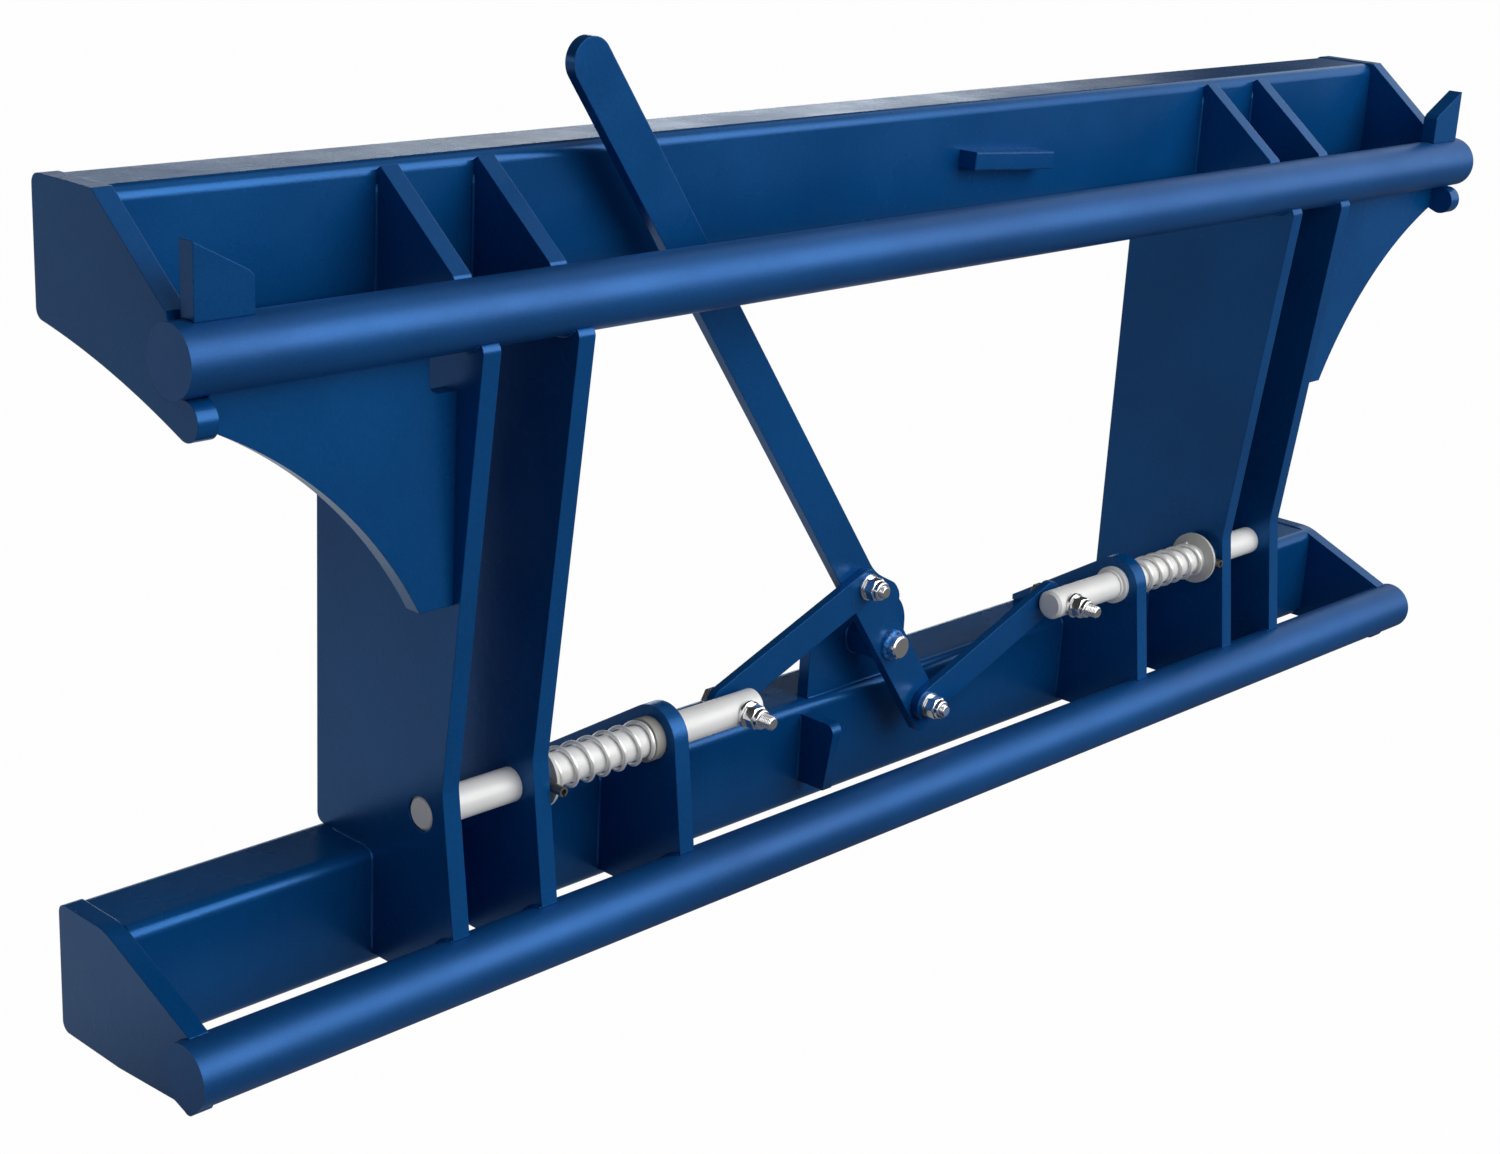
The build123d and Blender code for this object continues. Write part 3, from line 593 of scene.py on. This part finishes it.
def make_spring(hand, side):
    """Coil spring with closed end turns between the bush and the washer."""
    low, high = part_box(f"{hand}_spring")
    middle = node_middle(f"{hand}_spring")
    start_x = min(low[0], high[0], key=abs) + side * SPRING_WIRE_R
    end_x = max(low[0], high[0], key=abs) - side * SPRING_WIRE_R
    coil_r = node_size(f"{hand}_spring").y / 2 - SPRING_WIRE_R
    turns = SPRING_TURNS + 2 * SPRING_END_TURNS
    close = SPRING_WIRE_R * SPRING_END_PITCH * SPRING_END_TURNS
    length = abs(end_x - start_x)
    steps = round(turns * SPRING_STEPS)
    path = []
    for index in range(steps + 1):
        turn = turns * index / steps
        if turn < SPRING_END_TURNS:
            run = close * turn / SPRING_END_TURNS
        elif turn > turns - SPRING_END_TURNS:
            run = length - close * (turns - turn) / SPRING_END_TURNS
        else:
            share = (turn - SPRING_END_TURNS) / SPRING_TURNS
            run = close + (length - 2 * close) * share
        angle = side * 2 * pi * (turn + SPRING_PHASE)
        path.append(Vector((
            start_x + side * run, middle.y + coil_r * cos(angle), middle.z + coil_r * sin(angle)
        )))
    shell = bmesh.new()
    add_tube(shell, path, [SPRING_WIRE_R] * len(path), SPRING_SIDES)
    mesh = take_mesh(shell, f"{hand}_coil")
    spring = finish_piece(f"{hand}_coil", mesh, "frame", SPRING_STEEL)
    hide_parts(f"{hand}_spring")
    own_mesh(spring)


# Bolts and nuts

def add_turned(shell, x, z, rows, reach, sides, closed):
    """A skin round an axis along Y: rows of (y, largest radius), cut back by reach(y, angle)."""
    rings = []
    for y, limit in rows:
        ring = []
        for side in range(sides):
            angle = 2 * pi * side / sides
            r = min(limit, reach(y, angle))
            ring.append(shell.verts.new((x + r * cos(angle), y, z + r * sin(angle))))
        rings.append(ring)
    pairs = list(zip(rings, rings[1:]))
    if closed:
        pairs.append((rings[-1], rings[0]))
    else:
        shell.faces.new(rings[0])
        shell.faces.new(list(reversed(rings[-1])))
    for ring, following in pairs:
        for side in range(sides):
            other = (side + 1) % sides
            shell.faces.new((ring[side], following[side], following[other], ring[other]))


def hexagon_reach(y, angle):
    return HEX_FLATS / 2 / cos(angle % (pi / 3) - pi / 6)


def thread_reach(y, angle):
    phase = (y / THREAD_PITCH - angle / (2 * pi)) % 1.0
    return BOLT_R - THREAD_DEPTH * abs(2 * phase - 1)


def chamfer_rows(face_y, inwards):
    """Rows from the round face of a hexagon out over its chamfer."""
    step = HEX_ROUND_R - HEX_FACE_R
    drop = step * tan(HEX_SLOPE)
    return [
        (face_y + inwards * drop * share, HEX_FACE_R + step * share) for share in CHAMFER_SHARES
    ]


def add_nut(shell, x, z, front_y, back_y):
    """Locking nut: a chamfered hexagon with a rounded collar in front of it."""
    hex_y = back_y - NUT_T
    rows = [
        (back_y, BORE_R),
        *chamfer_rows(back_y, -1),
        *reversed(chamfer_rows(hex_y, 1)),
        (hex_y, NUT_COLLAR_R),
    ]
    for part in range(NUT_COLLAR_PARTS + 1):
        turn = pi / 2 * part / NUT_COLLAR_PARTS
        rows.append((
            front_y + NUT_COLLAR_ROUND * (1 - sin(turn)),
            NUT_COLLAR_R - NUT_COLLAR_ROUND * (1 - cos(turn)),
        ))
    rows.append((front_y, BORE_R))
    add_turned(shell, x, z, rows, hexagon_reach, HEX_SIDES, True)


def add_bolt(shell, x, z, front_y, back_y):
    """A threaded rod with a chamfered point."""
    count = round((back_y - front_y) / THREAD_STEP)
    rows = []
    for index in range(count + 1):
        y = front_y + (back_y - front_y) * index / count
        rows.append((y, BOLT_R - max(0.0, BOLT_POINT - (y - front_y))))
    add_turned(shell, x, z, rows, thread_reach, BOLT_SIDES, False)


def add_head(shell, x, z, front_y, back_y):
    """A hexagon head, chamfered at the back."""
    rows = [(front_y, HEX_FACE_R), (front_y, HEX_ROUND_R), *reversed(chamfer_rows(back_y, -1))]
    add_turned(shell, x, z, rows, hexagon_reach, HEX_SIDES, False)


def finish_fastener(shell, name, node, body):
    """Gives a fastener its zinc and puts it in the place of its plain node."""
    bmesh.ops.recalc_face_normals(shell, faces=shell.faces)
    mesh = take_mesh(shell, name)
    piece = finish_piece(name, mesh, body, ZINC)
    mesh.set_sharp_from_angle(angle=SHARP_ANGLE)
    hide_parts(node)


def make_pin_bolt(hand):
    """The thread and the nut of the bolt through a locking pin."""
    low, high = corners(f"{hand}_pin_bolt_thread")
    x = (low.x + high.x) / 2
    z = (low.z + high.z) / 2
    shell = bmesh.new()
    add_bolt(shell, x, z, low.y, high.y)
    finish_fastener(shell, f"{hand}_threaded_end", f"{hand}_pin_bolt_thread", f"{hand}_pin")
    low, high = corners(f"{hand}_pin_nut")
    shell = bmesh.new()
    add_nut(shell, x, z, low.y, high.y)
    finish_fastener(shell, f"{hand}_locking_nut", f"{hand}_pin_nut", f"{hand}_pin")


def make_lever_bolts():
    """The two bolts of the lever with their nuts; the upper one sits to the left."""
    low, high = corners("lever_nuts")
    left, right = low.x + HEX_ROUND_R, high.x - HEX_ROUND_R
    bottom, top = low.z + HEX_FLATS / 2, high.z - HEX_FLATS / 2
    places = ((left, top), (right, bottom))
    shell = bmesh.new()
    for x, z in places:
        add_nut(shell, x, z, low.y, high.y)
    finish_fastener(shell, "lever_locking_nuts", "lever_nuts", "lever")
    low, high = corners("lever_bolts")
    shell = bmesh.new()
    for x, z in places:
        add_bolt(shell, x, z, low.y, high.y - HEAD_T)
        add_head(shell, x, z, high.y - HEAD_T, high.y)
    finish_fastener(shell, "lever_hexagon_bolts", "lever_bolts", "lever")


# Camera, floor and light

def make_camera():
    level = cos(CAMERA_DIP)
    ahead = Vector((sin(CAMERA_HEADING) * level, cos(CAMERA_HEADING) * level, -sin(CAMERA_DIP)))
    level_right = ahead.cross(Vector((0, 0, 1))).normalized()
    level_up = level_right.cross(ahead)
    right = level_right * cos(CAMERA_ROLL) + level_up * sin(CAMERA_ROLL)
    up = level_up * cos(CAMERA_ROLL) - level_right * sin(CAMERA_ROLL)
    data = bpy.data.cameras.new("camera")
    data.lens = CAMERA_LENS
    data.sensor_width = CAMERA_SENSOR
    data.clip_end = CAMERA_REACH
    camera = bpy.data.objects.new("camera", data)
    turn = Matrix((right, up, -ahead)).transposed()
    camera.matrix_world = Matrix.Translation(CAMERA_PLACE) @ turn.to_4x4()
    bpy.context.scene.collection.objects.link(camera)
    bpy.context.scene.camera = camera


def add_glow(tree, surface, ray_kind, share, strength=None):
    """Mixes a share of white glow into a surface, for one kind of ray."""
    glow = shader_node(tree, "ShaderNodeEmission", {"Color": WHITE, "Strength": 1.0})
    if strength is not None:
        tree.links.new(strength, glow.inputs["Strength"])
    part = shader_node(tree, "ShaderNodeMath", {1: share}, operation="MULTIPLY")
    tree.links.new(ray_kind, part.inputs[0])
    mix = shader_node(tree, "ShaderNodeMixShader")
    tree.links.new(part.outputs["Value"], mix.inputs["Fac"])
    tree.links.new(surface, mix.inputs[1])
    tree.links.new(glow.outputs["Emission"], mix.inputs[2])
    return mix.outputs["Shader"]


def make_floor_finish():
    """White to the camera, grey to what it lights, and shaded under the part in reflections."""
    material, tree, shader, place = new_material("pale_floor")
    grain = add_noise(tree, place, 3.0, 2.0)
    colour = add_colours(tree, grain, (NOISE_SPAN[0], FLOOR_DARK), (NOISE_SPAN[1], FLOOR_LIGHT))
    tree.links.new(colour, shader.inputs["Base Color"])
    shader.inputs["Roughness"].default_value = 0.7
    shader.inputs["Specular IOR Level"].default_value = 0.2
    back = measure_along(tree, place, FLOOR_BACK)
    near = add_range(tree, back, NEAR_GLOW, NEAR_SPAN)
    far = add_range(tree, back, FAR_GLOW, FAR_SPAN)
    ray = shader_node(tree, "ShaderNodeLightPath").outputs
    surface = shader.outputs["BSDF"]
    mirrored = multiply(tree, near, far)
    surface = add_glow(tree, surface, ray["Is Glossy Ray"], MIRRORED_SHARE, mirrored)
    surface = add_glow(tree, surface, ray["Is Camera Ray"], SEEN_SHARE)
    tree.links.new(surface, tree.nodes["Material Output"].inputs["Surface"])
    return material


def make_floor():
    mesh = bpy.data.meshes.new("floor")
    half = FLOOR_HALF
    mesh.from_pydata(
        [(-half, -half, 0), (half, -half, 0), (half, half, 0), (-half, half, 0)],
        [],
        [(0, 1, 2, 3)],
    )
    mesh.materials.append(make_floor_finish())
    floor = bpy.data.objects.new("floor", mesh)
    bpy.context.scene.collection.objects.link(floor)


def make_world():
    """White to the camera and dim as a lamp; reflections see a dark wall over a bright strip."""
    world = bpy.data.worlds.new("studio")
    bpy.context.scene.world = world
    world.use_nodes = True
    tree = world.node_tree
    background = tree.nodes["Background"]
    place = shader_node(tree, "ShaderNodeTexCoord").outputs["Generated"]
    split = shader_node(tree, "ShaderNodeSeparateXYZ")
    tree.links.new(place, split.inputs["Vector"])
    height = split.outputs["Z"]
    back = measure_along(tree, place, REARWARDS)
    strip = multiply(
        tree,
        add_range(tree, height, (1.0, 0.0), STRIP_TOP),
        multiply(
            tree,
            add_range(tree, back, (0.0, 1.0), STRIP_EDGE),
            add_range(tree, back, (1.0, STRIP_FAR), STRIP_FALL),
        ),
    )
    wall = add_range(tree, strip, (WALL_LIGHT, STRIP_LIGHT), (0.0, 1.0))
    ahead = add_range(tree, height, (FRONT_LIGHT, ROOF_LIGHT), ROOF_EDGE)
    mirrored = blend(tree, add_range(tree, back, (0.0, 1.0), WALL_EDGE), ahead, wall)
    ray = shader_node(tree, "ShaderNodeLightPath").outputs
    seen = add_range(tree, ray["Is Camera Ray"], (WORLD_LIGHT, 1.0), (0.0, 1.0))
    strength = blend(tree, ray["Is Glossy Ray"], seen, mirrored)
    tree.links.new(strength, background.inputs["Strength"])
    background.inputs["Color"].default_value = WHITE


def make_key_lamp():
    data = bpy.data.lights.new("key", "AREA")
    data.shape = "RECTANGLE"
    data.size, data.size_y = KEY_SIZE
    data.energy = KEY_POWER
    lamp = bpy.data.objects.new("key", data)
    lamp.location = KEY_PLACE
    lamp.rotation_euler = (KEY_TARGET - KEY_PLACE).to_track_quat("-Z", "Y").to_euler()
    bpy.context.scene.collection.objects.link(lamp)


dress_cad_nodes()
make_frame_welds()
make_pivot_bead()
for hand, side in zip(HANDS, (-1, 1)):
    make_spring(hand, side)
    make_pin_bolt(hand)
make_lever_bolts()

make_camera()
make_floor()
make_world()
make_key_lamp()
bpy.context.scene.view_settings.view_transform = "Standard"
